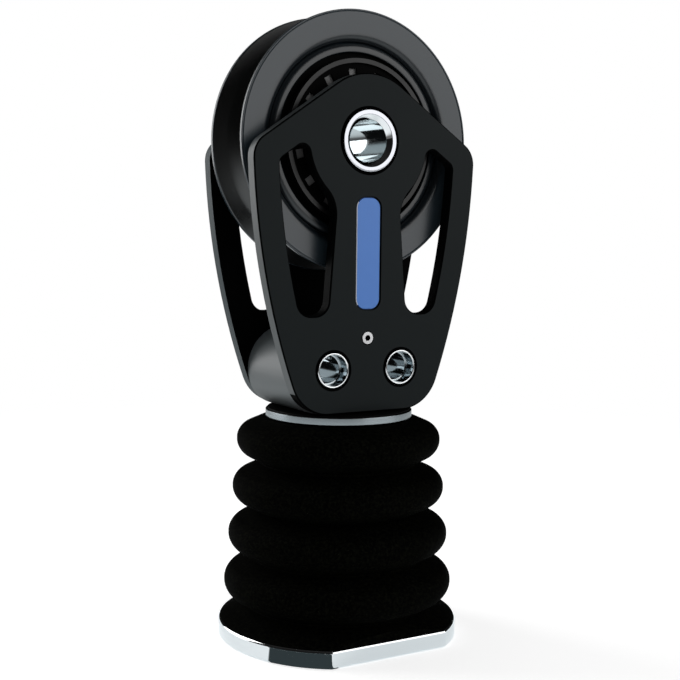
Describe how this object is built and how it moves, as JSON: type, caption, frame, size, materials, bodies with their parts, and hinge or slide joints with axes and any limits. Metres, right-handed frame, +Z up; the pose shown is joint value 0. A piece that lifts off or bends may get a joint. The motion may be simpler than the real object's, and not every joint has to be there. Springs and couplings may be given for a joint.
{
  "type": "stand-up block",
  "caption": "Stand-up deck block: a rope sheave between two cheek plates on a swivel stem, held upright by a rubber bellows over a toggle on a screw-down base.",
  "frame": {"origin": "middle of the base's underside, on the deck, below the crossing of the stem's and the axle's axes", "axes": "+Z up along the swivel stem; +Y along the sheave's axle towards the rear cheek, square to the base's two flats; +X to the right seen from the front cheek, which carries the label"},
  "size_m": [0.06, 0.0546, 0.1473],
  "materials": {
    "polished_steel": "polished stainless steel",
    "pin_steel": "turned stainless steel",
    "spring_steel": "bright spring steel",
    "boot_rubber": "moulded black rubber, semi-matt",
    "grey_aluminium": "satin grey anodised",
    "black_cheek": "matt black anodised",
    "black_sheave": "black anodised, turned",
    "black_cage": "moulded black plastic",
    "black_acetal": "machined black plastic",
    "pale_acetal": "pale grey plastic",
    "bronze": "turned bronze",
    "blue_label": "smooth blue plate"
  },
  "bodies": {
    "base": {"base_plate": "polished_steel", "boot": "boot_rubber", "lower_pin": "pin_steel", "lower_pin_clips": "spring_steel"},
    "toggle": {"toggle_link": "pin_steel"},
    "stem": {"stem": "pin_steel", "upper_pin": "pin_steel", "upper_pin_clips": "spring_steel", "collar_plate": "polished_steel", "thrust_washer": "black_acetal", "stem_nut": "pin_steel"},
    "head": {"head_block": "grey_aluminium", "stem_bush": "bronze", "nut_washer": "spring_steel", "front_cheek": "black_cheek", "rear_cheek": "black_cheek", "axle_tube": "polished_steel", "head_rivets": "polished_steel", "lock_screw": "spring_steel", "front_label": "blue_label", "bearing_hub": "black_acetal"},
    "sheave": {"sheave": "black_sheave"},
    "bearing": {"rollers": "pale_acetal", "roller_cage": "black_cage", "cage_front_plate": "black_cage"}
  },
  "joints": [
    {"name": "lower_tilt", "type": "hinge", "parent": "base", "child": "toggle", "pos_m": [0, 0, 0.0128], "axis": [1, 0, 0], "range_deg": [-15, 15], "stiffness_Nm_per_rad": 3, "deforming": ["boot"]},
    {"name": "upper_tilt", "type": "hinge", "parent": "toggle", "child": "stem", "pos_m": [0, 0, 0.0318], "axis": [0, 1, 0], "range_deg": [-15, 15], "stiffness_Nm_per_rad": 3, "deforming": ["boot"]},
    {"name": "head_swivel", "type": "hinge", "parent": "stem", "child": "head", "pos_m": [0, 0, 0.055], "axis": [0, 0, 1], "continuous": true},
    {"name": "sheave_spin", "type": "hinge", "parent": "head", "child": "sheave", "pos_m": [0, 0, 0.1173], "axis": [0, 1, 0], "continuous": true},
    {"name": "bearing_spin", "type": "hinge", "parent": "head", "child": "bearing", "pos_m": [0, 0, 0.1173], "axis": [0, 1, 0], "continuous": true}
  ],
  "couplings": [
    {"joint": "bearing_spin", "follows": "sheave_spin", "ratio": 0.5696}
  ]
}
